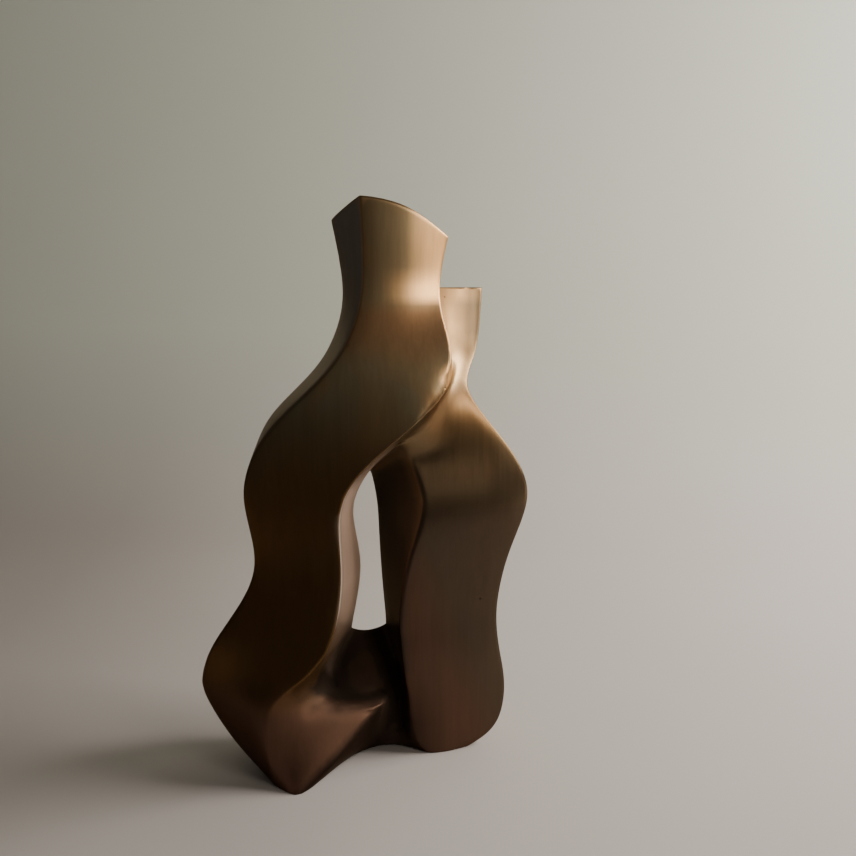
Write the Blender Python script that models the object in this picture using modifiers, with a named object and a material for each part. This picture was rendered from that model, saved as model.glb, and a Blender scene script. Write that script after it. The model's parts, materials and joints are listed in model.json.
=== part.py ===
"""Abstract cast metal sculpture: two wavy limbs leaning together round one tall window.

The piece is one solid casting. A tall limb stands in front on the left and a short limb
behind on the right. They are fused at the elbow, just under the short limb's head, and
again in the base, where a sill closes the window and a ledge runs in front of it.

Each limb is a chain of four-cornered sections, from its crown down to its hip, and both
limbs end in one common footprint. The sections are joined into a coarse cage, and
Subdivision Surface makes the flowing faces and the long crisp edges between them.

Metres, +Z up, the front faces -Y, the origin is at the bottom centre of the piece.
"""
import math
from collections import namedtuple

import bmesh
import bpy
from mathutils import Vector

HEIGHT = 0.360            # crown of the tall limb above the table
PARTS_IN_HEIGHT = 360     # every share below is given in this many parts of the height
SMOOTHING_LEVELS = 2      # halvings of each cage face
RINGS_PER_SPAN = 2        # rings of the cage between one named section and the next

# Main places: the heights of the two crowns, and how far the limbs spread to each side.
TALL_CROWN_LEVEL = 341.5
SHORT_CROWN_LEVEL = 308
HIP_REACH = 70
SHOULDER_REACH = 66

# A section's centre is at (across, depth, level). Its front face is as wide as breadth and
# the slab behind it as deep as thickness. Turn swings the front face to the right, roll
# lowers its right end and pitch lowers its back, in degrees. Swell crowns the front and
# back faces, flare_left and flare_right push the back corners outwards.
Section = namedtuple("Section", (
    "across depth level breadth thickness turn roll pitch swell flare_left flare_right"))

TALL_LIMB = (
    Section(18, -6, TALL_CROWN_LEVEL, 60, 38, 22, 22, 24, 5.5, 9, 0),# crown, cut slanting
    Section(17, -6, 302, 46, 30, 18, 2, 0, 3, 5, 0),              # neck
    Section(16, -16, 257, 77, 36, 7, 5, 0, 1, 6, 0),              # elbow
    Section(-18, -21, 223, 80, 36, 1, 3, 0, 0, 8, -3),            # roof of the window
    Section(-44, -16, 184, 62, 38, -5, 0, 0, 1, 0, 5),            # shoulder
    Section(-39, -11, 134, 54, 38, -7, -2, 0, 0, 0, 6),           # waist
    Section(-57, -12, 84, 80, 48, -13, 0, 0, 1, 0, 0),            # sill
    Section(-HIP_REACH, -10, 52, 58, 60, -36, -3, 0, 0, 0, 0),    # hip
)
SHORT_LIMB = (
    Section(52.7, 27, SHORT_CROWN_LEVEL, 33, 28, 22, 0, 0, 1, 0, 0),# crown, cut level
    Section(54.5, 22, 268, 22, 28, 22, 0, 0, 0, 0, 0),            # head above the elbow
    Section(43, 5, 245, 28, 32, 20, 0, 0, 1, 0, 0),               # neck, fused to the elbow
    Section(55, 10, 208, 67, 34, 11, 0, 0, 0, 10, 0),             # arm
    Section(SHOULDER_REACH, 13, 175, 70, 40, 16, 0, 0, 2, 24, 0), # shoulder
    Section(53.6, 15, 135, 68.8, 37, 15, 0, 0, 1, 12.2, 0),       # waist
    Section(47, 17, 85, 67, 36, 15, 0, 15, 1, 2, 0),              # sill
    Section(53, 17, 46, 70, 38, 15, 0, 0, 1, 0, 0),               # hip
)

# The first and last rings of the two limbs that are fused at the elbow.
TALL_FUSED_RINGS = (4, 6)
SHORT_FUSED_RINGS = (3, 5)
# How far back across the tall limb's right side the short limb joins it, as a share of the
# side. Round the elbow the share is smaller, so that the two front faces run together.
INNER_SHARE = 0.5
ELBOW_INNER_SHARES = {4: 0.30, 5: 0.07, 6: 0.13, 7: 0.34, 8: 0.46}
# The window's roof slants: its back edge is drawn in and down, fading over these rings.
ROOF_BACK = Vector((-21, 14, -30))
ROOF_FADE = 5
CROWN_ARCH = 6            # how far the tall crown's slanting cut bows up in the middle

# The base. Below the sill ring both limbs have the same rings.
SILL_RING = 12
HIP_RING = 14
BASE_RINGS = 18
RIM = ((-12.5, 11, 82), (-3, 13, 79), (8.5, 18, 82))       # the sill's back rim
PANEL = ((-24, 1, 66), (-3, 4, 63))                        # half way down to the pocket
POCKET = ((-27, -14, 48), (-2, -15, 44))                    # fold behind the ledge
LEDGE = (5, -22, 42)      # nose of the base's face
LEDGE_HEEL = (-37, -38, 50)    # where the ledge meets the tall limb
FLANK = (13, -13, 42)     # side of the base's face, towards the short limb
VALLEY_SHARES = (0.42, 0.50)   # how far back the sill meets the short limb's inner side
WEB_BACK = ((-12, 23, 62), (-3, 27, 60))   # back of the web under the rim, left and middle
BASE_BACK = ((-14, 26, 42), (-3, 30, 40))  # back of the base, left and middle

FOOTPRINT_FRONT = (
    (-68, -29, 0), (-63, -36, 0), (-58, -44, 0),          # edge of the tall limb's foot
    (-49, -51, 0), (-38, -59, 0),                         # toe
    (-13, -3, 2), (22, 4, 3),                             # arch between the feet
    (38, -7, 0), (53, -4, 0), (66, 3, 0),                 # short limb's foot
)
FOOTPRINT_BACK = (
    (-62, 12, 0), (-38, 26, 0), (-14, 30, 0),
    (8, 32, 3),
    (30, 34, 0), (48, 38, 0), (66, 34, 0),
)
# Two ankle rings lie between the hip and the footprint, this far from the foot to the ring
# above. The base's face leans out over the arch, so its own ankle points are given.
ANKLE_LEVELS = (22, 8)
ANKLE_SHARES = {"tall": (0.55, 0.40), "web": (0.50, 0.40), "short": (0.93, 0.65)}
ANKLE_FACE = {
    ("tall", "inner"): ((-41, -48), (-46, -54)),
    ("web", "ledge"): ((-13, -37), (-28, -51)),
    ("web", "flank"): ((6, -13), (-2, -6)),
}

# How crisp the edges are, from 0 for soft to 1 for sharp. The front edges fade where the
# limbs run together, from the rings named here to the next ones.
CUT_CREASE = 1.0          # round the crowns and the soles
FRONT_EDGE_CREASE = 1.0
TALL_EDGE_FADES = {3: 0.85, 4: 0.1, 5: 0.6, 12: 0.8, 13: 0.3, 14: 0.4, 15: 0.6, 16: 0.6}
SHORT_EDGE_FADES = {2: 0.6, 3: 0.0, 4: 0.0, 12: 0.9, 13: 0.7, 14: 0.4, 15: 0.3, 16: 0.3}
OUTER_EDGE_CREASE = 0.95
INNER_EDGE_CREASE = 0.9   # back edges facing the window
RIM_CREASE = 0.9
FOLD_CREASE = 0.85        # between the panel and the ledge
PANEL_SIDE_CREASE = 0.8
LEDGE_CREASES = (0.3, 0.7)    # along the top of the base's face, softer near the tall limb
RIDGE_CREASE = 0.5            # from its nose down towards the toe

BRONZE_COLOUR = (0.36, 0.25, 0.13, 1.0)
BRONZE_ROUGHNESS = 0.34
COLLECTION_NAME = "abstract_metal_sculpture"
NODE_NAME = "sculpture"


def clear_scene():
    """Remove whatever the opened scene holds."""
    for obj in list(bpy.data.objects):
        bpy.data.objects.remove(obj, do_unlink=True)


def curve_through(before, start, end, after, share):
    """Return the point at the given share of the way from start to end, on a smooth curve."""
    square = share * share
    cube = square * share
    return 0.5 * (2 * start + (end - before) * share
                  + (2 * before - 5 * start + 4 * end - after) * square
                  + (3 * start - before - 3 * end + after) * cube)


def spaced_sections(sections):
    """Return the sections with smooth ones added between them."""
    result = []
    last = len(sections) - 1
    for index in range(last):
        start = sections[index]
        end = sections[index + 1]
        before = sections[max(index - 1, 0)]
        after = sections[min(index + 2, last)]
        for step in range(RINGS_PER_SPAN):
            share = step / RINGS_PER_SPAN
            values = [curve_through(*four, share) for four in zip(before, start, end, after)]
            result.append(Section(*values))
    result.append(sections[last])
    return result


def section_corners(section):
    """Return the named points of one section, in parts of the height."""
    turn = math.radians(section.turn)
    roll = math.radians(section.roll)
    pitch = math.radians(section.pitch)
    rightwards = Vector((math.cos(turn) * math.cos(roll), math.sin(turn) * math.cos(roll),
                         -math.sin(roll)))
    backwards = Vector((-math.sin(turn) * math.cos(pitch), math.cos(turn) * math.cos(pitch),
                        -math.sin(pitch)))
    centre = Vector((section.across, section.depth, section.level))
    half_breadth = rightwards * section.breadth / 2
    half_thickness = backwards * section.thickness / 2
    swell = backwards * section.swell
    corners = {
        "front_left": centre - half_breadth - half_thickness,
        "front_mid": centre - half_thickness - swell,
        "front_right": centre + half_breadth - half_thickness,
        "back_right": centre + half_breadth + half_thickness + rightwards * section.flare_right,
        "back_mid": centre + half_thickness + swell,
        "back_left": centre - half_breadth + half_thickness - rightwards * section.flare_left,
    }
    corners["inner"] = corners["front_right"].lerp(corners["back_right"], INNER_SHARE)
    return corners


def roof_shift(rings_below):
    """Return how far an inner back corner moves, this many rings below the fused ones."""
    share = 1 - abs(rings_below) / ROOF_FADE
    if rings_below < -1 or share <= 0:
        return Vector()
    sideways = share ** 3
    return Vector((ROOF_BACK.x * sideways, ROOF_BACK.y * sideways, ROOF_BACK.z * share))


class Cage:
    """Points and faces of the coarse cage, with named points on each limb's rings."""

    def __init__(self):
        self.mesh = bmesh.new()
        self.crease = self.mesh.edges.layers.float.new("crease_edge")
        self.points = {}

    def point(self, limb, ring, name, place):
        self.points[limb, ring, name] = self.mesh.verts.new(place)

    def share(self, limb, ring, name, other):
        self.points[limb, ring, name] = self.points[other]

    def face(self, *keys):
        self.mesh.faces.new([self.points[key] for key in keys])

    def strip(self, limb, first_name, second_name, rings):
        """Add one face between two long edges for each ring number given."""
        for ring in rings:
            self.face((limb, ring, first_name), (limb, ring + 1, first_name),
                      (limb, ring + 1, second_name), (limb, ring, second_name))

    def sharpen(self, first, second, amount):
        """Keep the edge between two points crisp, from 0 for soft to 1 for sharp."""
        edge = self.mesh.edges.get((self.points[first], self.points[second]))
        edge[self.crease] = amount


def add_tall_rings(cage):
    """Place the tall limb's rings, from the crown to the hip."""
    for ring, section in enumerate(spaced_sections(TALL_LIMB)):
        corners = section_corners(section)
        if ring == 0:
            corners["front_mid"].z += CROWN_ARCH
            corners["back_mid"].z += CROWN_ARCH
        corners["back_right"] += roof_shift(ring - TALL_FUSED_RINGS[1])
        if ring in ELBOW_INNER_SHARES:
            share = ELBOW_INNER_SHARES[ring]
            corners["inner"] = corners["front_right"].lerp(corners["back_right"], share)
        for name, place in corners.items():
            cage.point("tall", ring, name, place)
    cage.points["tall", SILL_RING, "back_right"].co = Vector(RIM[0])
    cage.points["tall", HIP_RING, "inner"].co = Vector(LEDGE_HEEL)
    for ring, front, back in zip((SILL_RING + 1, HIP_RING), (PANEL, POCKET), (WEB_BACK, BASE_BACK)):
        cage.share("tall", ring, "valley", ("tall", ring, "back_right"))
        cage.points["tall", ring, "valley"].co = Vector(front[0])
        cage.point("web", ring, "valley", Vector(front[1]))
        cage.point("tall", ring, "back_right", Vector(back[0]))
        cage.point("web", ring, "back", Vector(back[1]))


def add_short_rings(cage):
    """Place the short limb's rings. Where it is fused, it uses the tall limb's points."""
    first, last = SHORT_FUSED_RINGS
    for ring, section in enumerate(spaced_sections(SHORT_LIMB)):
        corners = section_corners(section)
        corners["back_left"] += roof_shift(ring - last)
        fused = first <= ring <= last
        for name, place in corners.items():
            if name == "inner" or (fused and name.endswith("left")):
                continue
            cage.point("short", ring, name, place)
        if fused:
            tall_ring = ring - first + TALL_FUSED_RINGS[0]
            cage.share("short", ring, "front_left", ("tall", tall_ring, "inner"))
            cage.share("short", ring, "back_left", ("tall", tall_ring, "back_right"))
    cage.points["short", SILL_RING, "back_left"].co = Vector(RIM[2])
    for ring, share in zip((SILL_RING + 1, HIP_RING), VALLEY_SHARES):
        front = cage.points["short", ring, "front_left"].co
        back = cage.points["short", ring, "back_left"].co
        cage.point("short", ring, "valley", front.lerp(back, share))


def add_base_rings(cage):
    """Place the sill, the ledge, the ankle rings and the footprint."""
    cage.point("web", SILL_RING, "back", Vector(RIM[1]))
    cage.share("web", SILL_RING, "valley", ("web", SILL_RING, "back"))
    cage.share("tall", SILL_RING, "valley", ("tall", SILL_RING, "back_right"))
    cage.share("short", SILL_RING, "valley", ("short", SILL_RING, "back_left"))
    cage.point("web", HIP_RING, "ledge", Vector(LEDGE))
    cage.point("web", HIP_RING, "flank", Vector(FLANK))
    front_names = [("tall", "front_left"), ("tall", "front_mid"), ("tall", "front_right"),
                   ("tall", "inner"), ("web", "ledge"), ("web", "flank"), ("short", "valley"),
                   ("short", "front_left"), ("short", "front_mid"), ("short", "front_right")]
    back_names = [("tall", "back_left"), ("tall", "back_mid"), ("tall", "back_right"),
                  ("web", "back"),
                  ("short", "back_left"), ("short", "back_mid"), ("short", "back_right")]
    chains = ((front_names, FOOTPRINT_FRONT), (back_names, FOOTPRINT_BACK))
    for names, footprint in chains:
        for (limb, name), place in zip(names, footprint):
            foot = Vector(place)
            above = cage.points[limb, HIP_RING, name].co
            for step, level in enumerate(ANKLE_LEVELS):
                ankle = foot.lerp(above, ANKLE_SHARES[limb][step])
                if (limb, name) in ANKLE_FACE:
                    ankle = Vector(ANKLE_FACE[limb, name][step]).to_3d()
                ankle.z = level
                cage.point(limb, HIP_RING + 1 + step, name, ankle)
                above = ankle
            cage.point(limb, BASE_RINGS - 1, name, foot)
    return front_names, back_names


def add_limb_faces(cage):
    """Skin both limbs, leaving out the sides where they are fused."""
    whole = range(BASE_RINGS - 1)
    to_sill = range(SILL_RING)
    to_hip = range(HIP_RING)
    for limb in ("tall", "short"):
        cage.strip(limb, "front_left", "front_mid", whole)
        cage.strip(limb, "front_mid", "front_right", whole)
        cage.strip(limb, "back_mid", "back_left", whole)
        cage.strip(limb, "back_right", "back_mid", whole)
    cage.strip("tall", "back_left", "front_left", whole)
    cage.strip("tall", "front_right", "inner", whole)
    open_rings = [ring for ring in to_sill if not TALL_FUSED_RINGS[0] <= ring < TALL_FUSED_RINGS[1]]
    cage.strip("tall", "inner", "back_right", open_rings)
    cage.strip("short", "front_right", "back_right", whole)
    open_rings = [ring for ring in to_sill if not SHORT_FUSED_RINGS[0] <= ring < SHORT_FUSED_RINGS[1]]
    cage.strip("short", "back_left", "front_left", open_rings)
    for ring in to_hip[SILL_RING:]:
        cage.face(("tall", ring, "inner"), ("tall", ring + 1, "inner"),
                  ("tall", ring + 1, "valley"), ("tall", ring, "valley"))
        cage.face(("short", ring, "valley"), ("short", ring + 1, "valley"),
                  ("short", ring + 1, "front_left"), ("short", ring, "front_left"))


def add_base_faces(cage):
    """Skin the sill, the pocket, the base's face and its back."""
    for ring in range(SILL_RING, HIP_RING):
        for first, second in (("tall", "web"), ("web", "short")):
            cage.face((first, ring, "valley"), (first, ring + 1, "valley"),
                      (second, ring + 1, "valley"), (second, ring, "valley"))
    ring = HIP_RING
    cage.face(("tall", ring, "valley"), ("tall", ring, "inner"),
              ("web", ring, "ledge"), ("web", ring, "valley"))
    cage.face(("web", ring, "valley"), ("web", ring, "ledge"), ("web", ring, "flank"),
              ("short", ring, "valley"))
    for ring in range(HIP_RING, BASE_RINGS - 1):
        cage.face(("tall", ring, "inner"), ("tall", ring + 1, "inner"),
                  ("web", ring + 1, "ledge"), ("web", ring, "ledge"))
        cage.face(("web", ring, "ledge"), ("web", ring + 1, "ledge"),
                  ("web", ring + 1, "flank"), ("web", ring, "flank"))
        cage.face(("web", ring, "flank"), ("web", ring + 1, "flank"),
                  ("short", ring + 1, "valley"), ("short", ring, "valley"))
        cage.face(("short", ring, "valley"), ("short", ring + 1, "valley"),
                  ("short", ring + 1, "front_left"), ("short", ring, "front_left"))
    for ring in range(SILL_RING, BASE_RINGS - 1):
        cage.face(("web", ring, "back"), ("web", ring + 1, "back"),
                  ("tall", ring + 1, "back_right"), ("tall", ring, "back_right"))
        cage.face(("short", ring, "back_left"), ("short", ring + 1, "back_left"),
                  ("web", ring + 1, "back"), ("web", ring, "back"))


def add_crowns(cage):
    """Close the two heads."""
    cage.face(("tall", 0, "front_left"), ("tall", 0, "front_mid"),
              ("tall", 0, "back_mid"), ("tall", 0, "back_left"))
    cage.face(("tall", 0, "front_mid"), ("tall", 0, "front_right"), ("tall", 0, "inner"),
              ("tall", 0, "back_right"), ("tall", 0, "back_mid"))
    cage.face(("short", 0, "front_left"), ("short", 0, "front_mid"),
              ("short", 0, "back_mid"), ("short", 0, "back_left"))
    cage.face(("short", 0, "front_mid"), ("short", 0, "front_right"),
              ("short", 0, "back_right"), ("short", 0, "back_mid"))


def add_underside(cage):
    """Close the footprint of both feet and the arch between them."""
    sole = {
        "tall": (("front_left", "front_mid", "back_mid", "back_left"),
                 ("front_mid", "front_right", "back_right", "back_mid")),
        "short": (("front_left", "front_mid", "back_mid", "back_left"),
                  ("front_mid", "front_right", "back_right", "back_mid")),
    }
    ring = BASE_RINGS - 1
    for limb, faces in sole.items():
        for names in faces:
            cage.face(*((limb, ring, name) for name in names))
    cage.face(("tall", ring, "front_right"), ("tall", ring, "inner"), ("web", ring, "ledge"),
              ("web", ring, "flank"))
    cage.face(("tall", ring, "front_right"), ("web", ring, "flank"), ("web", ring, "back"),
              ("tall", ring, "back_right"))
    cage.face(("web", ring, "flank"), ("short", ring, "valley"), ("web", ring, "back"))
    cage.face(("short", ring, "valley"), ("short", ring, "front_left"),
              ("short", ring, "back_left"), ("web", ring, "back"))


def crease_amount(limb, name, ring):
    """Return how crisp a limb's long edge is between this ring and the next."""
    if (limb, name) == ("tall", "front_right"):
        return TALL_EDGE_FADES.get(ring, FRONT_EDGE_CREASE)
    if (limb, name) == ("short", "front_left"):
        return SHORT_EDGE_FADES.get(ring, FRONT_EDGE_CREASE)
    if (limb, name) == ("tall", "back_right"):
        fused = TALL_FUSED_RINGS[0] <= ring < TALL_FUSED_RINGS[1]
        return 0.0 if fused or ring >= SILL_RING else INNER_EDGE_CREASE
    if (limb, name) == ("short", "back_left"):
        fused = SHORT_FUSED_RINGS[0] <= ring < SHORT_FUSED_RINGS[1]
        return 0.0 if fused else INNER_EDGE_CREASE
    return OUTER_EDGE_CREASE


def sharpen_edges(cage, front_names, back_names):
    """Set the crisp edges: along the limbs, round the crowns, in the base and on the soles."""
    long_edges = [(limb, name) for limb in ("tall", "short")
                  for name in ("front_left", "front_right", "back_left", "back_right")]
    for limb, name in long_edges:
        for ring in range(BASE_RINGS - 1):
            amount = crease_amount(limb, name, ring)
            cage.sharpen((limb, ring, name), (limb, ring + 1, name), amount)
    crowns = {
        "tall": ("front_left", "front_mid", "front_right", "inner", "back_right", "back_mid",
                 "back_left"),
        "short": ("front_left", "front_mid", "front_right", "back_right", "back_mid",
                  "back_left"),
    }
    for limb, names in crowns.items():
        for first, second in zip(names, names[1:] + names[:1]):
            cage.sharpen((limb, 0, first), (limb, 0, second), CUT_CREASE)
    rim = [("tall", SILL_RING, "back_right"), ("web", SILL_RING, "back"),
           ("short", SILL_RING, "back_left")]
    for first, second in zip(rim, rim[1:]):
        cage.sharpen(first, second, RIM_CREASE)
    fold = [(limb, HIP_RING, "valley") for limb in ("tall", "web", "short")]
    for first, second in zip(fold, fold[1:]):
        cage.sharpen(first, second, FOLD_CREASE)
    ledge = [("tall", HIP_RING, "inner"), ("web", HIP_RING, "ledge"), ("web", HIP_RING, "flank")]
    for first, second, amount in zip(ledge, ledge[1:], LEDGE_CREASES):
        cage.sharpen(first, second, amount)
    for ring in range(HIP_RING, BASE_RINGS - 2):
        cage.sharpen(("web", ring, "ledge"), ("web", ring + 1, "ledge"), RIDGE_CREASE)
    for limb in ("tall", "short"):
        for ring in (SILL_RING, SILL_RING + 1):
            cage.sharpen((limb, ring, "valley"), (limb, ring + 1, "valley"), PANEL_SIDE_CREASE)
    ring = BASE_RINGS - 1
    sole = [(limb, ring, name) for limb, name in front_names]
    sole += [(limb, ring, name) for limb, name in reversed(back_names)]
    for first, second in zip(sole, sole[1:] + sole[:1]):
        cage.sharpen(first, second, CUT_CREASE)


def bronze_material():
    """Satin brown bronze."""
    material = bpy.data.materials.new("patinated_bronze")
    material.use_nodes = True
    shader = material.node_tree.nodes["Principled BSDF"]
    shader.inputs["Base Color"].default_value = BRONZE_COLOUR
    shader.inputs["Metallic"].default_value = 1.0
    shader.inputs["Roughness"].default_value = BRONZE_ROUGHNESS
    return material


def build_cage():
    """Return the whole cage as a mesh, in metres."""
    cage = Cage()
    add_tall_rings(cage)
    add_short_rings(cage)
    front_names, back_names = add_base_rings(cage)
    add_limb_faces(cage)
    add_base_faces(cage)
    add_crowns(cage)
    add_underside(cage)
    sharpen_edges(cage, front_names, back_names)
    part = HEIGHT / PARTS_IN_HEIGHT
    bmesh.ops.scale(cage.mesh, vec=(part, part, part), verts=cage.mesh.verts)
    bmesh.ops.recalc_face_normals(cage.mesh, faces=cage.mesh.faces)
    mesh = bpy.data.meshes.new(NODE_NAME)
    cage.mesh.to_mesh(mesh)
    cage.mesh.free()
    return mesh


def stand_on_origin(obj):
    """Move the cage so that the smoothed piece stands with its bottom centre at the origin."""
    depsgraph = bpy.context.evaluated_depsgraph_get()
    smoothed = obj.evaluated_get(depsgraph).to_mesh()
    places = [vertex.co for vertex in smoothed.vertices]
    lows = [min(place[axis] for place in places) for axis in range(3)]
    highs = [max(place[axis] for place in places) for axis in range(3)]
    offset = Vector(((lows[0] + highs[0]) / 2, (lows[1] + highs[1]) / 2, lows[2]))
    for vertex in obj.data.vertices:
        vertex.co -= offset


def main():
    clear_scene()
    collection = bpy.data.collections.new(COLLECTION_NAME)
    bpy.context.scene.collection.children.link(collection)
    sculpture = bpy.data.objects.new(NODE_NAME, build_cage())
    sculpture.data.materials.append(bronze_material())
    collection.objects.link(sculpture)
    smooth = sculpture.modifiers.new("flowing faces", "SUBSURF")
    smooth.levels = SMOOTHING_LEVELS
    smooth.render_levels = SMOOTHING_LEVELS
    stand_on_origin(sculpture)
    sculpture.data.shade_smooth()


main()
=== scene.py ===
"""Looks of the abstract metal sculpture: satin brushed bronze with a worn brown patina.

The faceted solid is copied, merged and smoothed into one fine skin, and the skin takes a
finish that follows its own shape: edges rubbed bright, hollows painted dark as shade and patina.
Its colour also holds painted highlights on the heads, neck, elbow and window rim, painted light
on some sides, and painted shade in the base's recesses and on the short limb's inner side.
It stands on a plain pale floor, painted darker to the left as shade, that sweeps up behind
it, in soft light from the right.
"""

import json
import math

import bmesh
import bpy
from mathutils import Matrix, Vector
from mathutils.bvhtree import BVHTree

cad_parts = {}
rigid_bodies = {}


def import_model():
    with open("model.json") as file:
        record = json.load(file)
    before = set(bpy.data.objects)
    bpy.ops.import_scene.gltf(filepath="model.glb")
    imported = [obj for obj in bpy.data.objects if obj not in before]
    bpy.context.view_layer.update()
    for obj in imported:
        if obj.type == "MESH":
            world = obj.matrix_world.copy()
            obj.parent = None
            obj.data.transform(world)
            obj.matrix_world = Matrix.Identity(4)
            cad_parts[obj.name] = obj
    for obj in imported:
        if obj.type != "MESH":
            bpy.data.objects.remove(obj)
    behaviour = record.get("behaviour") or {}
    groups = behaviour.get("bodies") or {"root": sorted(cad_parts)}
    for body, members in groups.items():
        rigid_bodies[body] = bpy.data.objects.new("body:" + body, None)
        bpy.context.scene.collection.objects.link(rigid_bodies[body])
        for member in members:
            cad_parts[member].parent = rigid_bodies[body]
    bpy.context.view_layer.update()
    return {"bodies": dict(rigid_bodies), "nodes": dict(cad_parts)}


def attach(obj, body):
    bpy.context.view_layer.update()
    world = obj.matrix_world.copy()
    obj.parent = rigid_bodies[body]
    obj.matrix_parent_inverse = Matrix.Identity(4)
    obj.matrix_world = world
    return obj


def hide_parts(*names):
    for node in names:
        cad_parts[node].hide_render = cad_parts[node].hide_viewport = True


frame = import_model()

# The fine skin.
SMOOTHING_LEVELS = 2
MERGE_GAP = 1e-6                  # corners nearer than this become one
JOIN_FACE_ANGLE = math.radians(40)    # most fold between two triangles joined into one face
JOIN_SHAPE_ANGLE = math.radians(60)   # most that such a face's corners differ from square
SOFT_ANGLE = math.radians(16)     # a fold flatter than this is smoothed away
CRISP_ANGLE = math.radians(36)    # a fold steeper than this is a clean edge
EDGE_CRISPNESS = 0.85             # crease of a clean edge, where 1 stays fully sharp
SHELTER_REACH = 0.060             # how far away metal still shades a hollow
SHELTER_RAYS = 40
SHELTER_START = 0.0008            # how far off the skin the rays start
OPEN_SIDE = 0.1                   # least rise over the skin of a ray that counts
WINDOW_SPAN = (0.060, 0.215)      # heights of the window's two sides
WINDOW_SIDES = (-0.025, 0.045)    # nothing left or right of these is a side of the window
TALL_SIDE_FACING = (0.55, 0.85)   # how far right a face turns to begin and to be the tall side
SHORT_SIDE_FACING = (0.25, 0.50)  # how far left a face turns to begin and to be the short side

# Colours of the bronze and its patina, and of the painted highlights, light and shade laid on it.
OLIVE_BRASS = (0.176, 0.150, 0.092, 1)
GOLDEN_BROWN = (0.208, 0.150, 0.084, 1)
ORANGE_BROWN = (0.25, 0.135, 0.06, 1)
NECK_BROWN = (0.225, 0.120, 0.060, 1)
LOW_BROWN = (0.140, 0.066, 0.020, 1)
ROSE_BROWN = (0.100, 0.053, 0.039, 1)
GREY_OLIVE = (0.080, 0.064, 0.044, 1)
# Painted shade in the hollows, recesses and valleys of the base, and the dark of the pits.
DARK_SHADE_AND_PATINA = (0.022, 0.015, 0.011, 1)
# Painted shade on the short limb's side of the window.
INNER_SIDE_SHADE = (0.060, 0.046, 0.034, 1)
# Painted light: faces turned to the left are painted a pale grey.
LEFT_SIDE_LIGHT = (0.40, 0.35, 0.29, 1)
# Painted highlight on the short limb's head.
GOLDEN_HIGHLIGHT = (0.95, 0.60, 0.30, 1)
# Painted highlight on the tall limb's neck, head edge and elbow, and rubbed edge wear on the
# heads.
RUBBED_AND_HIGHLIGHT_METAL = (0.88, 0.49, 0.21, 1)
# Painted light on the tall limb's side of the window, which faces right.
PALE_ROSE = (0.72, 0.50, 0.38, 1)
# Painted highlight along the window's rim, laid where the edges are also rubbed.
PALE_RIM = (0.95, 0.80, 0.68, 1)
MIRROR_TINT = (0.5, 0.42, 0.34, 1)

# Patterns of the bronze: name, stretch of the axes, scale, detail and distortion.
PATTERNS = (
    ("brushing", (1, 1, 0.02), 700, 3, 0.0),
    ("strokes", (1, 1, 0.05), 160, 3, 0.2),
    ("patches", (1, 1, 1), 11, 2, 0.5),
    ("clouds", (1, 1, 0.6), 34, 3, 0.4),
    ("waves", (1, 1, 1), 26, 1, 0.0),
)
# Slanting measures: name, and the share of the height that is added to the place to the right.
SLANTS = (
    ("outward_slant", 0.4),
    ("past_ridge", -1.2),
)
# Corners to measure from.
CORNERS = (
    ("from_elbow", (0.056, -0.018, 0.254)),
    ("from_pocket", (-0.022, -0.007, 0.052)),
)
# Small pits, each with its place and radius.
PITS = (
    ((0.075, 0.008, 0.105), 0.0011),
    ((0.051, -0.024, 0.249), 0.0010),
    ((0.051, 0.013, 0.302), 0.0008),
    ((-0.053, -0.022, 0.229), 0.0013),
    ((-0.035, -0.030, 0.053), 0.0009),
)
PIT_CORE = 1 / 3                  # share of a pit's radius that has its full depth

# Zones of the bronze. A zone is the product of its bands. A band names a measure, and gives its
# values where the zone begins and where it is full, and the shares there if not 0 and 1. The
# measures right, back and up are places in metres, and measure_bronze sets all of them up.
BRASS_PATCHES = (("patches", 0.40, 0.60),)
BRASS_CLOUDS = (("clouds", 0.45, 0.70, 0, 0.5),)
BELOW_NECK = (("up", 0.262, 0.282), ("up", 0.302, 0.292))
# Painted highlight: a bright band across the right part of the tall limb's neck.
NECK = (("up", 0.297, 0.303), ("up", 0.320, 0.309, 0.1, 1), ("right", 0.012, 0.040),
        ("clouds", 0.35, 0.65, 0.85, 0.45))
SHORT_HEAD = (("back", -0.012, -0.002), ("right", 0.026, 0.038))
# Painted highlight over the short head's face, weaker at its right edge and top.
SHORT_HEAD_FACE = SHORT_HEAD + (("up", 0.242, 0.264), ("up", 0.310, 0.290, 0.5, 1),
                                ("right", 0.066, 0.054, 0.25, 1))
# Painted shade along the short head's right edge; its top is painted a duller grey-olive.
SHORT_HEAD_EDGE = SHORT_HEAD + (("up", 0.262, 0.280), ("right", 0.055, 0.067))
SHORT_HEAD_TOP = SHORT_HEAD + (("up", 0.262, 0.280), ("up", 0.292, 0.310, 0, 0.6))
# Painted highlight along the tall head's right edge.
TALL_HEAD_EDGE = (("up", 0.297, 0.304), ("right", 0.028, 0.047, 0, 0.85),
                  ("back", 0.006, -0.002))
# Painted highlight: a spot at the elbow's corner.
ELBOW = (("from_elbow", 0.012, 0.004, 0, 0.8),)
# Painted light on faces turned to the left, on the upper part.
LEFT_FACE = (("facing_right", -0.30, -0.55), ("up", 0.20, 0.25))
SHOULDER = (("right", 0.034, 0.044), ("up", 0.250, 0.242), ("up", 0.205, 0.225, 0, 0.7))
LOWER_LIMBS = (("up", 0.245, 0.18), ("right", 0.01, 0.04, 1, 0.55))
RIGHT_LIMB = (("right", -0.01, 0.02), ("up", 0.22, 0.15))
BASE = (("up", 0.07, 0.045),)
OUTER_SIDE = (("outward_slant", 0.075, 0.100),)
ARM_FOLD = (("up", 0.166, 0.176), ("up", 0.190, 0.180), ("right", 0.025, 0.040, 0, 0.4))
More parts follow.
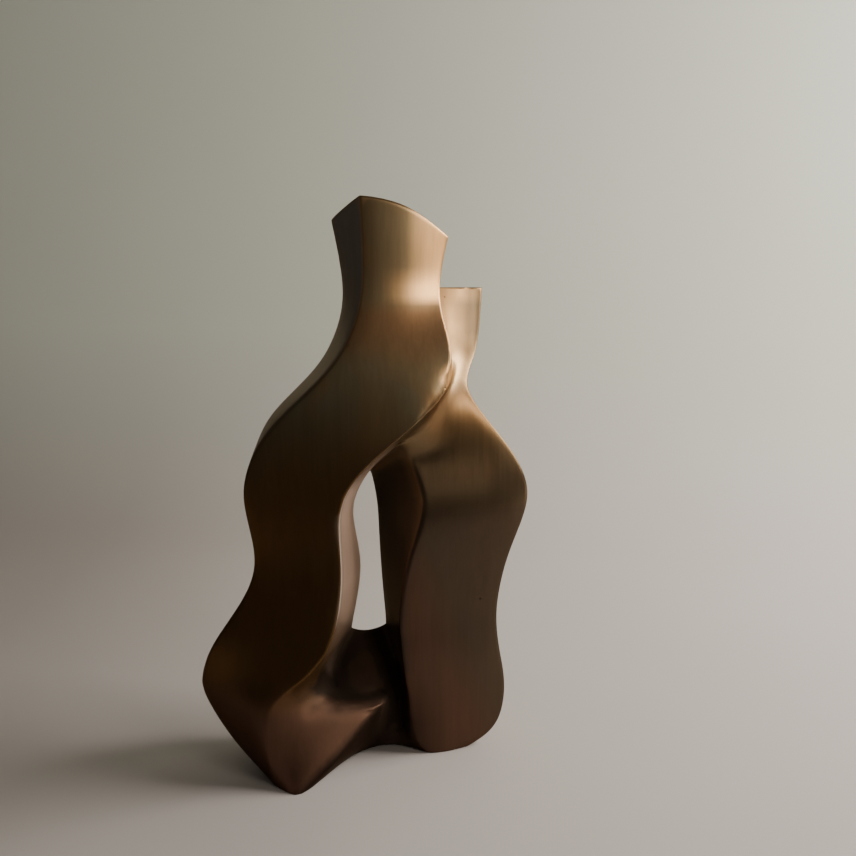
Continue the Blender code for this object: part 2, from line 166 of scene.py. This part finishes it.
# Painted shade, standing also for dark patina, where nearby metal closes off the hollows low
# down.
HOLLOWS = (("sheltered", 0.06, 0.24), ("up", 0.12, 0.085, 0.1, 0.95))
# Painted shade on the web right of the base's ridge.
WEB = (("past_ridge", -0.046, -0.037), ("right", 0.022, 0.008), ("up", 0.050, 0.040, 0, 0.9))
# Painted shade in the pocket behind the tall limb's edge.
POCKET = (("from_pocket", 0.012, 0.004),)
# Painted shade on the short limb's lower left, in the valley by the base.
SHORT_FOOT = (("up", 0.062, 0.022), ("right", 0.058, 0.022, 0, 0.85), ("right", 0.010, 0.016))
# Painted shade on the panel under the web's rim; its roughness is raised there too.
PANEL = (("back", -0.016, -0.008), ("back", 0.024, 0.014), ("right", -0.032, -0.022),
         ("up", 0.092, 0.066, 0, 0.85), ("right", 0.026, 0.018))
# Painted shade over the lip below the panel.
LIP = (("up", 0.032, 0.043), ("right", -0.034, -0.018), ("up", 0.062, 0.050),
       ("right", 0.022, 0.016, 0, 0.5))
# Painted shade on the short limb's side of the window.
SHORT_SIDE = (("window_side", 0, -1, 0, 0.95),)
# Painted light on the tall limb's side of the window.
TALL_SIDE = (("window_side", 0, 1), ("up", 0.080, 0.125, 0.1, 1))
STREAKS = (("brushing", 0.3, 0.7, 0.955, 1.045), ("strokes", 0.3, 0.7, 0.965, 1.035))
WORN_HEADS = (("rubbed", 0.7, 1.0), ("up", 0.24, 0.29, 0, 0.3))
# Painted highlight on the rubbed edges of the window's rim, on the tall limb's side.
WINDOW_RIM = (("rubbed", 0.3, 0.7), ("window_side", 0.05, 0.3), ("up", 0.100, 0.115))
PITTING = (("pits", 0, 1),)

# Layers of colour, from first to last: colour, strength, and the zones that it covers. Where
# zones meet, the stronger counts.
# Patina tones together with painted highlights, painted light and painted shade.
PATINA_AND_PAINTED_LIGHT_LAYERS = (
    (GOLDEN_BROWN, 1.0, (BRASS_PATCHES,)),
    (ORANGE_BROWN, 1.0, (BRASS_CLOUDS,)),
    (NECK_BROWN, 0.75, (BELOW_NECK,)),
    # Painted highlight on the neck.
    (RUBBED_AND_HIGHLIGHT_METAL, 1.0, (NECK,)),
    # Painted highlight on the short head.
    (GOLDEN_HIGHLIGHT, 1.0, (SHORT_HEAD_FACE,)),
    # Painted shade on the short head's right edge, and a duller top.
    (GREY_OLIVE, 0.75, (SHORT_HEAD_EDGE, SHORT_HEAD_TOP)),
    # Painted highlights on the tall head's right edge and the elbow.
    (RUBBED_AND_HIGHLIGHT_METAL, 1.0, (TALL_HEAD_EDGE, ELBOW)),
    # Painted light on the faces turned left.
    (LEFT_SIDE_LIGHT, 1.0, (LEFT_FACE,)),
    (ORANGE_BROWN, 1.0, (SHOULDER,)),
    (LOW_BROWN, 0.85, (LOWER_LIMBS,)),
    (ROSE_BROWN, 0.85, (RIGHT_LIMB, BASE)),
    (GREY_OLIVE, 0.7, (OUTER_SIDE + RIGHT_LIMB, OUTER_SIDE + BASE)),
    (GOLDEN_BROWN, 1.0, (ARM_FOLD,)),
    # Painted shade in the hollows, recesses and valleys of the base.
    (DARK_SHADE_AND_PATINA, 1.0, (HOLLOWS, WEB, POCKET, SHORT_FOOT, PANEL, LIP)),
    # Painted shade on the short limb's inner side.
    (INNER_SIDE_SHADE, 1.0, (SHORT_SIDE,)),
    # Painted light on the tall limb's side of the window.
    (PALE_ROSE, 0.8, (TALL_SIDE,)),
)
# Edge wear and pits, with a painted highlight along the window's rim.
WEAR_AND_HIGHLIGHT_LAYERS = (
    (RUBBED_AND_HIGHLIGHT_METAL, 1.0, (WORN_HEADS,)),
    # Painted highlight and edge wear along the window's rim.
    (PALE_RIM, 1.0, (WINDOW_RIM,)),
    (DARK_SHADE_AND_PATINA, 0.6, (PITTING,)),
)
# Bands that add up to the roughness, and how far the metal's share falls on the pale side.
ROUGHNESS = (
    ("brushing", 0.35, 0.65, 0.295, 0.315),
    ("strokes", 0.35, 0.65, 0, 0.015),
    ("sheltered", 0.06, 0.3, 0, 0.3),
    ("panel", 0, 0.85, 0, 0.15),
    ("up", 0.10, 0.06, 0, 0.12),
)
METALLIC = (("pale_side", 0, 1, 0.85, 0.5),)
HAND_RELIEF = {"Strength": 0.20, "Distance": 0.0010}
PIT_RELIEF = {"Strength": 0.6, "Distance": 0.0003}

# The photograph's side and focal length in pixels, and its camera in millimetres, metres and
# degrees.
PHOTO_SIDE = 856
FOCAL_PIXELS = 850
SENSOR_WIDTH = 36.0
CAMERA_PLACE = (0.0406, -0.5279, 0.309)
CAMERA_PITCH = 9.5
CLIP_START = 0.01

# The floor and the backing behind it, in metres.
SHEET_HALF_WIDTH = 3.0
MIRRORED_LEFT = -0.6              # the metal mirrors no sheet left of this
MIRRORED_FRONT = -0.22            # the metal mirrors no floor in front of this
FLOOR_FRONT = -2.5
FLOOR_BACK = 0.45
SWEEP_RADIUS = 0.25
SWEEP_STEPS = 16
BACKING_HEIGHT = 2.2
FLOOR_COLOURS = ((0.68, 0.625, 0.595, 1), (0.71, 0.655, 0.625, 1))
BACKING_COLOURS = ((0.76, 0.79, 0.69, 1), (0.79, 0.82, 0.72, 1))
MOTTLE_SCALE = 6                  # of the faint mottle between the two colours of each
MOTTLE_DETAIL = 2
# Painted shade: the floor is painted darker towards the left.
DIM_FLOOR = (0.50, 0.455, 0.42, 1)
DIMMING = (0.0, -0.35)            # where to the left the floor begins to dim and is dimmest
COLOUR_RISE = (0.0, 0.25)         # heights where the floor's colour ends and the backing's begins
BACKING_ROUGHNESS = 0.9

# Lamps: name, place, what they face, width and height in metres, power in watts, colour, and
# whether they light all or are only mirrored.
MAIN_PLACE = (1.15, 0.12, 0.75)
BRIGHT_PLACE = (0.94, -0.76, 0.51)
PIECE_LOWER_HALF = (0.0, 0.0, 0.15)
PIECE_MIDDLE = (0.0, 0.0, 0.25)
LAMPS = (
    ("main_light", MAIN_PLACE, PIECE_LOWER_HALF, 0.7, 0.9, 20, (1.0, 0.95, 0.88), True),
    ("front_light", BRIGHT_PLACE, PIECE_MIDDLE, 0.36, 0.36, 2.5, (1.0, 0.92, 0.80), True),
    ("bright_glow", BRIGHT_PLACE, PIECE_MIDDLE, 0.34, 0.20, 2.9, (1.0, 0.88, 0.72), False),
)
# Dim glows round the front, only mirrored: name, degrees to the right, width and power.
GLOWS = (
    ("right_glow", 27, 0.50, 0.45),
    ("front_glow", 2, 0.58, 0.18),
    ("side_glow", 65, 0.24, 1.2),
)
GLOW_DISTANCE = 1.2
GLOW_LEVEL = 0.50                 # of their middles, over the floor
GLOW_HEIGHT = 0.9
GLOW_COLOUR = (1.0, 0.90, 0.76)
SURROUND_COLOUR = (1.0, 0.94, 0.86, 1)
SURROUND_STRENGTH = 0.05


def clear_start_objects():
    """Remove the objects of the opened file that aren't part of the frame."""
    kept = set(frame["nodes"].values()) | set(frame["bodies"].values())
    for obj in list(bpy.data.objects):
        if obj not in kept:
            bpy.data.objects.remove(obj, do_unlink=True)


def merged_copy(node):
    """Return a bmesh of the node's triangles, merged and joined back into four-sided faces."""
    mesh = bmesh.new()
    mesh.from_mesh(node.data)
    bmesh.ops.remove_doubles(mesh, verts=mesh.verts, dist=MERGE_GAP)
    bmesh.ops.join_triangles(mesh, faces=mesh.faces, cmp_seam=False, cmp_sharp=False,
                             cmp_uvs=False, cmp_vcols=False, cmp_materials=False,
                             angle_face_threshold=JOIN_FACE_ANGLE,
                             angle_shape_threshold=JOIN_SHAPE_ANGLE)
    mesh.normal_update()
    return mesh


def share_between(value, low, high):
    """Return how far the value lies from low to high, held to the range 0 to 1."""
    return min(max((value - low) / (high - low), 0.0), 1.0)


def crispness(edge):
    """Return how sharp an edge stays, from 0 for a flowing face to 1 for a full fold."""
    if len(edge.link_faces) != 2:
        return 0.0
    return share_between(edge.calc_face_angle(0.0), SOFT_ANGLE, CRISP_ANGLE)


def sphere_directions(count):
    """Return unit vectors spread evenly over the sphere."""
    golden_turn = math.pi * (3 - math.sqrt(5))
    directions = []
    for index in range(count):
        height = 1 - 2 * (index + 0.5) / count
        radius = math.sqrt(1 - height * height)
        turn = golden_turn * index
        directions.append(Vector((radius * math.cos(turn), radius * math.sin(turn), height)))
    return directions


def shelter(tree, directions, vertex):
    """Return the share of the open side of a point that nearby metal closes off."""
    start = vertex.co + vertex.normal * SHELTER_START
    open_side = [way for way in directions if way.dot(vertex.normal) > OPEN_SIDE]
    blocked = 0.0
    for way in open_side:
        distance = tree.ray_cast(start, way, SHELTER_REACH)[-1]
        if distance is not None:
            blocked += 1 - distance / SHELTER_REACH
    return blocked / len(open_side)


def side_of_window(vertex):
    """Return 1 on the tall limb's side of the window, -1 on the short limb's and else 0."""
    bottom, top = WINDOW_SPAN
    left, right = WINDOW_SIDES
    if not bottom < vertex.co.z < top or not left < vertex.co.x < right:
        return 0.0
    if vertex.normal.x > 0:
        return share_between(vertex.normal.x, *TALL_SIDE_FACING)
    return -share_between(-vertex.normal.x, *SHORT_SIDE_FACING)


def mark_wear_and_shade(mesh):
    """Store on each point its rubbed edge, its shelter and its side of the window."""
    rubbed = mesh.verts.layers.float.new("rubbed")
    sheltered = mesh.verts.layers.float.new("sheltered")
    window_side = mesh.verts.layers.float.new("window_side")
    tree = BVHTree.FromBMesh(mesh)
    directions = sphere_directions(SHELTER_RAYS)
    for vertex in mesh.verts:
        vertex[rubbed] = max(crispness(edge) if edge.is_convex else 0.0
                             for edge in vertex.link_edges)
        # The shelter share sets where the finish paints shade into the hollows.
        vertex[sheltered] = shelter(tree, directions, vertex)
        vertex[window_side] = side_of_window(vertex)


def sculpture_skin():
    """Return the fine skin of the whole casting."""
    mesh = merged_copy(frame["nodes"]["sculpture"])
    crease = mesh.edges.layers.float.new("crease_edge")
    for edge in mesh.edges:
        edge[crease] = EDGE_CRISPNESS * crispness(edge)
    mark_wear_and_shade(mesh)
    data = bpy.data.meshes.new("cast_sculpture")
    mesh.to_mesh(data)
    mesh.free()
    skin = bpy.data.objects.new("cast_sculpture", data)
    bpy.context.scene.collection.objects.link(skin)
    smooth = skin.modifiers.new("flowing faces", "SUBSURF")
    smooth.levels = SMOOTHING_LEVELS
    smooth.render_levels = SMOOTHING_LEVELS
    data.shade_smooth()
    return skin


class Finish:
    """A material's node tree, with short calls for its nodes, and the measures of its bands."""

    def __init__(self, name):
        self.material = bpy.data.materials.new(name)
        self.material.use_nodes = True
        self.tree = self.material.node_tree
        self.shader = self.tree.nodes["Principled BSDF"]
        self.measures = {}

    def node(self, kind, **inputs):
        """Add a node; inputs are given by name, with _ for a space."""
        node = self.tree.nodes.new(kind)
        for name, value in inputs.items():
            self.feed(node.inputs[name.replace("_", " ")], value)
        return node

    def feed(self, socket, value):
        """Link a node's output to the socket, or set the socket to a constant."""
        if isinstance(value, bpy.types.NodeSocket):
            self.tree.links.new(value, socket)
        else:
            socket.default_value = value

    def math(self, operation, first, second):
        """Return the result of the operation on two numbers."""
        node = self.tree.nodes.new("ShaderNodeMath")
        node.operation = operation
        self.feed(node.inputs[0], first)
        self.feed(node.inputs[1], second)
        return node.outputs[0]

    def combined(self, operation, shares):
        """Return the shares taken together by the operation, one after another."""
        result = shares[0]
        for share in shares[1:]:
            result = self.math(operation, result, share)
        return result

    def ramp(self, value, low, high, start=0.0, end=1.0):
        """Map value from the range low..high to start..end, held at both ends."""
        node = self.node("ShaderNodeMapRange", Value=value, From_Min=low, From_Max=high,
                         To_Min=start, To_Max=end)
        return node.outputs["Result"]

    def shares(self, bands):
        """Return the share that each band gives."""
        return [self.ramp(self.measures[name], *numbers) for name, *numbers in bands]

    def zone(self, bands):
        """Return the product of the bands."""
        return self.combined("MULTIPLY", self.shares(bands))

    def tint(self, amount, first, second, blend="MIX"):
        """Return the first colour with the second blended in by the amount."""
        node = self.tree.nodes.new("ShaderNodeMix")
        node.data_type = "RGBA"
        node.blend_type = blend
        self.feed(node.inputs["Factor"], amount)
        self.feed(node.inputs["A"], first)
        self.feed(node.inputs["B"], second)
        return node.outputs["Result"]

    def layered(self, colour, layers):
        """Return the colour with the layers laid over it in turn."""
        for layer_colour, strength, zones in layers:
            share = self.combined("MAXIMUM", [self.zone(bands) for bands in zones])
            colour = self.tint(self.math("MULTIPLY", share, strength), colour, layer_colour)
        return colour

    def noise(self, place, scale, detail, distortion=0.0):
        """Return a random pattern from 0 to 1."""
        node = self.node("ShaderNodeTexNoise", Vector=place, Scale=scale, Detail=detail,
                         Distortion=distortion)
        return node.outputs["Fac"]

    def stretched(self, place, stretch):
        """Return the place with each axis multiplied, to draw a pattern out along one of them."""
        return self.node("ShaderNodeMapping", Vector=place, Scale=stretch).outputs["Vector"]

    def distance(self, place, centre):
        """Return how far the place lies from the centre."""
        gap = self.tree.nodes.new("ShaderNodeVectorMath")
        gap.operation = "DISTANCE"
        self.feed(gap.inputs[0], place)
        self.feed(gap.inputs[1], centre)
        return gap.outputs["Value"]

    def attribute(self, name):
        """Return what is stored on the skin's points under the name."""
        node = self.tree.nodes.new("ShaderNodeAttribute")
        node.attribute_name = name
        return node.outputs["Fac"]


def measure_bronze(finish):
    """Set up every measure that a band of the bronze can name."""
    measures = finish.measures
    place = finish.node("ShaderNodeTexCoord").outputs["Object"]
    axes = finish.node("ShaderNodeSeparateXYZ", Vector=place)
    measures["right"] = axes.outputs["X"]
    measures["back"] = axes.outputs["Y"]
    measures["up"] = axes.outputs["Z"]
    normal = finish.node("ShaderNodeNewGeometry").outputs["Normal"]
    measures["facing_right"] = finish.node("ShaderNodeSeparateXYZ", Vector=normal).outputs["X"]
    for name in ("rubbed", "sheltered", "window_side"):
        measures[name] = finish.attribute(name)
    for name, stretch, scale, detail, distortion in PATTERNS:
        stretched = finish.stretched(place, stretch)
        measures[name] = finish.noise(stretched, scale, detail, distortion)
    for name, slope in SLANTS:
        rise = finish.math("MULTIPLY", measures["up"], slope)
        measures[name] = finish.math("ADD", measures["right"], rise)
    for name, corner in CORNERS:
        measures[name] = finish.distance(place, corner)
    pits = [finish.ramp(finish.distance(place, centre), radius, radius * PIT_CORE)
            for centre, radius in PITS]
    measures["pits"] = finish.combined("MAXIMUM", pits)
    measures["panel"] = finish.zone(PANEL)
    measures["pale_side"] = finish.zone(TALL_SIDE)


def bronze_relief(finish):
    """Return the normal of gentle hand-worked waves with the pits sunk into them."""
    hand = finish.node("ShaderNodeBump", Height=finish.measures["waves"], **HAND_RELIEF)
    surface = finish.math("SUBTRACT", 1.0, finish.measures["pits"])
    dent = finish.node("ShaderNodeBump", Height=surface, Normal=hand.outputs["Normal"],
                       **PIT_RELIEF)
    return dent.outputs["Normal"]


def bronze_finish():
    """Return satin bronze, brushed along its height, with its patina and wear by place, and with
    painted highlights, painted light and painted shade in its colour.
    """
    finish = Finish("patinated_bronze")
    measure_bronze(finish)
    colour = finish.layered(OLIVE_BRASS, PATINA_AND_PAINTED_LIGHT_LAYERS)
    colour = finish.tint(1.0, colour, finish.zone(STREAKS), "MULTIPLY")
    colour = finish.layered(colour, WEAR_AND_HIGHLIGHT_LAYERS)
    roughness = finish.combined("ADD", finish.shares(ROUGHNESS))
    finish.feed(finish.shader.inputs["Base Color"], colour)
    finish.feed(finish.shader.inputs["Metallic"], finish.zone(METALLIC))
    finish.feed(finish.shader.inputs["Specular Tint"], MIRROR_TINT)
    finish.feed(finish.shader.inputs["Roughness"], roughness)
    finish.feed(finish.shader.inputs["Normal"], bronze_relief(finish))
    return finish.material


def backing_finish():
    """Return the plain pale matt material of the backing and of the floor, with painted shade
    darkening the floor to the left.
    """
    finish = Finish("pale_backing")
    place = finish.node("ShaderNodeTexCoord").outputs["Object"]
    axes = finish.node("ShaderNodeSeparateXYZ", Vector=place)
    mottle = finish.noise(place, MOTTLE_SCALE, MOTTLE_DETAIL)
    dimming = finish.ramp(axes.outputs["X"], *DIMMING)
    floor = finish.tint(dimming, finish.tint(mottle, *FLOOR_COLOURS), DIM_FLOOR)
    backing = finish.tint(mottle, *BACKING_COLOURS)
    colour = finish.tint(finish.ramp(axes.outputs["Z"], *COLOUR_RISE), floor, backing)
    finish.feed(finish.shader.inputs["Base Color"], colour)
    finish.feed(finish.shader.inputs["Roughness"], BACKING_ROUGHNESS)
    return finish.material


def pale_sheet(name, profile, left, right):
    """Return a sheet of the given depth and height profile, between two sides."""
    mesh = bmesh.new()
    sides = [[mesh.verts.new((side, depth, height)) for depth, height in profile]
             for side in (left, right)]
    for index in range(len(profile) - 1):
        mesh.faces.new((sides[0][index], sides[1][index], sides[1][index + 1],
                        sides[0][index + 1]))
    bmesh.ops.recalc_face_normals(mesh, faces=mesh.faces)
    data = bpy.data.meshes.new(name)
    mesh.to_mesh(data)
    mesh.free()
    data.shade_smooth()
    data.materials.append(backing_finish())
    sheet = bpy.data.objects.new(name, data)
    bpy.context.scene.collection.objects.link(sheet)
    return sheet


def sweep_profile():
    """Return the floor's line from its mirrored front, curving up into the backing."""
    profile = [(MIRRORED_FRONT, 0.0)]
    for step in range(SWEEP_STEPS + 1):
        turn = math.pi / 2 * step / SWEEP_STEPS
        profile.append((FLOOR_BACK + SWEEP_RADIUS * math.sin(turn),
                        SWEEP_RADIUS * (1 - math.cos(turn))))
    profile.append((FLOOR_BACK + SWEEP_RADIUS, BACKING_HEIGHT))
    return profile


def pale_backdrop():
    """Return the floor and backing. The metal mirrors only the sheet round and behind it."""
    sweep = sweep_profile()
    near = pale_sheet("pale_sweep", sweep, MIRRORED_LEFT, SHEET_HALF_WIDTH)
    left = pale_sheet("left_sweep", sweep, -SHEET_HALF_WIDTH, MIRRORED_LEFT)
    front = pale_sheet("front_floor", [(FLOOR_FRONT, 0.0), (MIRRORED_FRONT, 0.0)],
                       -SHEET_HALF_WIDTH, SHEET_HALF_WIDTH)
    left.visible_glossy = False
    front.visible_glossy = False
    return near, left, front


def soft_lamp(name, place, target, width, height, power, colour, lights_all):
    """Add a soft lamp that faces the target; without lights_all it is only mirrored."""
    data = bpy.data.lights.new(name, "AREA")
    data.shape = "RECTANGLE"
    data.size = width
    data.size_y = height
    data.energy = power
    data.color = colour
    lamp = bpy.data.objects.new(name, data)
    lamp.location = place
    facing = Vector(target) - Vector(place)
    lamp.rotation_euler = facing.to_track_quat("-Z", "Y").to_euler()
    lamp.visible_camera = False
    lamp.visible_diffuse = lights_all
    bpy.context.scene.collection.objects.link(lamp)


def light_scene():
    """Light the piece softly from the right, with glows in front for the metal to mirror."""
    for lamp in LAMPS:
        soft_lamp(*lamp)
    for name, azimuth, width, power in GLOWS:
        turn = math.radians(azimuth)
        place = (GLOW_DISTANCE * math.sin(turn), -GLOW_DISTANCE * math.cos(turn), GLOW_LEVEL)
        soft_lamp(name, place, PIECE_MIDDLE, width, GLOW_HEIGHT, power, GLOW_COLOUR, False)
    world = bpy.data.worlds.new("dim_surround")
    world.use_nodes = True
    background = world.node_tree.nodes["Background"]
    background.inputs["Color"].default_value = SURROUND_COLOUR
    background.inputs["Strength"].default_value = SURROUND_STRENGTH
    bpy.context.scene.world = world


def photo_camera():
    """Place the camera where the photograph was taken from."""
    data = bpy.data.cameras.new("photo_camera")
    data.sensor_width = SENSOR_WIDTH
    data.lens = FOCAL_PIXELS / PHOTO_SIDE * SENSOR_WIDTH
    data.clip_start = CLIP_START
    camera = bpy.data.objects.new("photo_camera", data)
    camera.location = CAMERA_PLACE
    camera.rotation_euler = (math.radians(90 - CAMERA_PITCH), 0, 0)
    bpy.context.scene.collection.objects.link(camera)
    bpy.context.scene.camera = camera


clear_start_objects()
skin = sculpture_skin()
skin.data.materials.append(bronze_finish())
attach(skin, "root")
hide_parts("sculpture")
pale_backdrop()
light_scene()
photo_camera()
